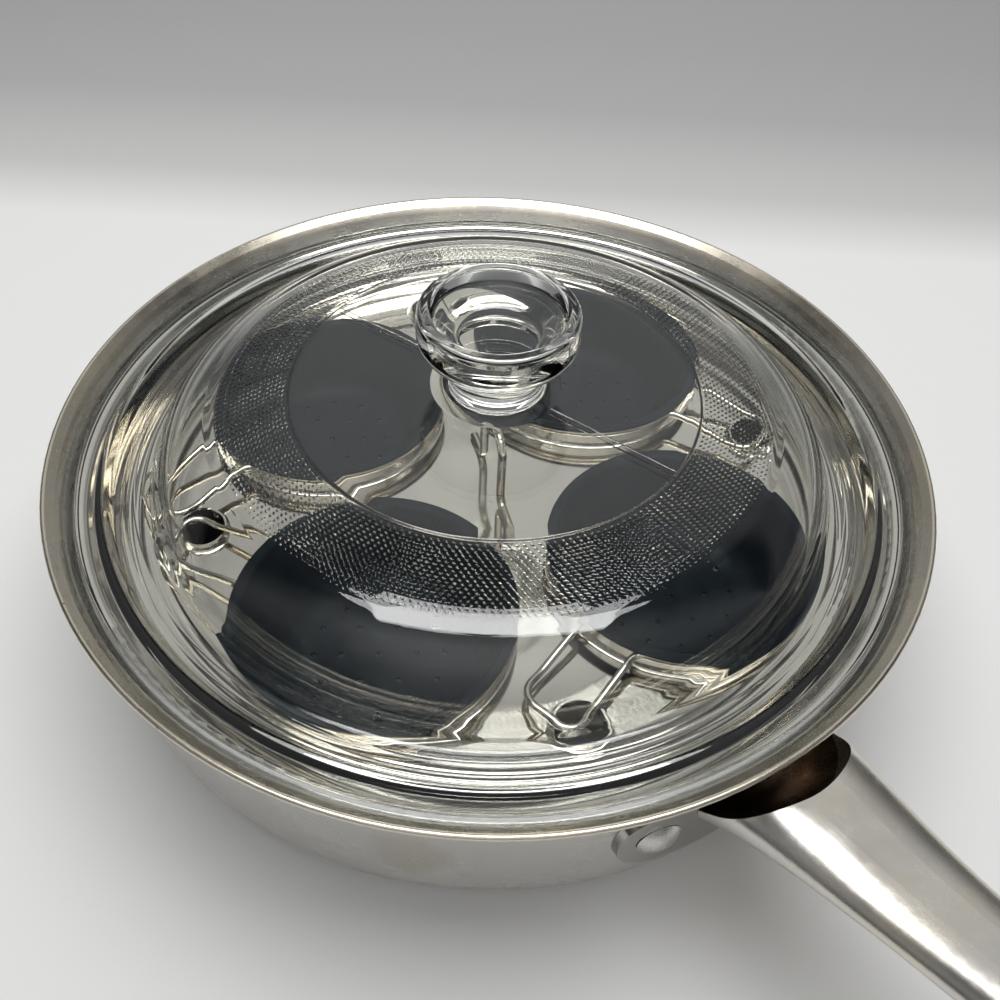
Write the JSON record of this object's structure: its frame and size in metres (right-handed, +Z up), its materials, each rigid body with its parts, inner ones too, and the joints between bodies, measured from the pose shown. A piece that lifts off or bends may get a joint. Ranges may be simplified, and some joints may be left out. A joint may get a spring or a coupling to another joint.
{
  "type": "egg poacher pan",
  "caption": "Covered stainless egg poacher pan with a riveted handle, lift-out tray, perforated nonstick cups on wire loops, and a clear glass lid with a moulded knob.",
  "frame": {"origin": "centre of the flat base, where the pan stands", "axes": "+Z up; +X from the pan's axis along the handle; +Y to the left of the handle seen from above"},
  "size_m": [0.46, 0.27, 0.1103],
  "materials": {
    "pan_steel": "brushed, faint straw heat tint on the lip",
    "base_steel": "brushed in circles",
    "core_aluminium": "hidden, plain",
    "handle_steel": "worn polish, heat-tinted at the neck",
    "bracket_steel": "polished",
    "rivet_steel": "scuffed",
    "insert_steel": "mirror polished",
    "wire_steel": "polished",
    "nonstick": "dark blue-grey nonstick coating, satin",
    "lid_glass": "clear moulded glass, stippled round the shoulder"
  },
  "bodies": {
    "pan": {"pan_body": "pan_steel", "base_core": "core_aluminium", "base_cap": "base_steel", "handle": "handle_steel", "handle_bracket": "bracket_steel", "handle_rivets": "rivet_steel"},
    "insert": {"insert_plate": "insert_steel", "lift_handle": "wire_steel"},
    "lid": {"glass_lid": "lid_glass"},
    "cup_1": {"egg_cup_1": "nonstick", "cup_wire_1": "wire_steel"},
    "cup_2": {"egg_cup_2": "nonstick", "cup_wire_2": "wire_steel"},
    "cup_3": {"egg_cup_3": "nonstick", "cup_wire_3": "wire_steel"},
    "cup_4": {"egg_cup_4": "nonstick", "cup_wire_4": "wire_steel"}
  },
  "joints": [
    {"name": "lid_lift", "type": "slide", "parent": "pan", "child": "lid", "axis": [0, 0, 1], "range_m": [0, 0.2]},
    {"name": "insert_lift", "type": "slide", "parent": "pan", "child": "insert", "axis": [0, 0, 1], "range_m": [0, 0.1]},
    {"name": "cup_1_lift", "type": "slide", "parent": "insert", "child": "cup_1", "axis": [0, 0, 1], "range_m": [0, 0.05]},
    {"name": "cup_2_lift", "type": "slide", "parent": "insert", "child": "cup_2", "axis": [0, 0, 1], "range_m": [0, 0.05]},
    {"name": "cup_3_lift", "type": "slide", "parent": "insert", "child": "cup_3", "axis": [0, 0, 1], "range_m": [0, 0.05]},
    {"name": "cup_4_lift", "type": "slide", "parent": "insert", "child": "cup_4", "axis": [0, 0, 1], "range_m": [0, 0.05]}
  ],
  "couplings": [
    {"joint": "insert_lift", "follows": "lid_lift", "ratio": 0.5},
    {"joint": "cup_1_lift", "follows": "lid_lift", "ratio": 0.25},
    {"joint": "cup_2_lift", "follows": "lid_lift", "ratio": 0.25},
    {"joint": "cup_3_lift", "follows": "lid_lift", "ratio": 0.25},
    {"joint": "cup_4_lift", "follows": "lid_lift", "ratio": 0.25}
  ]
}
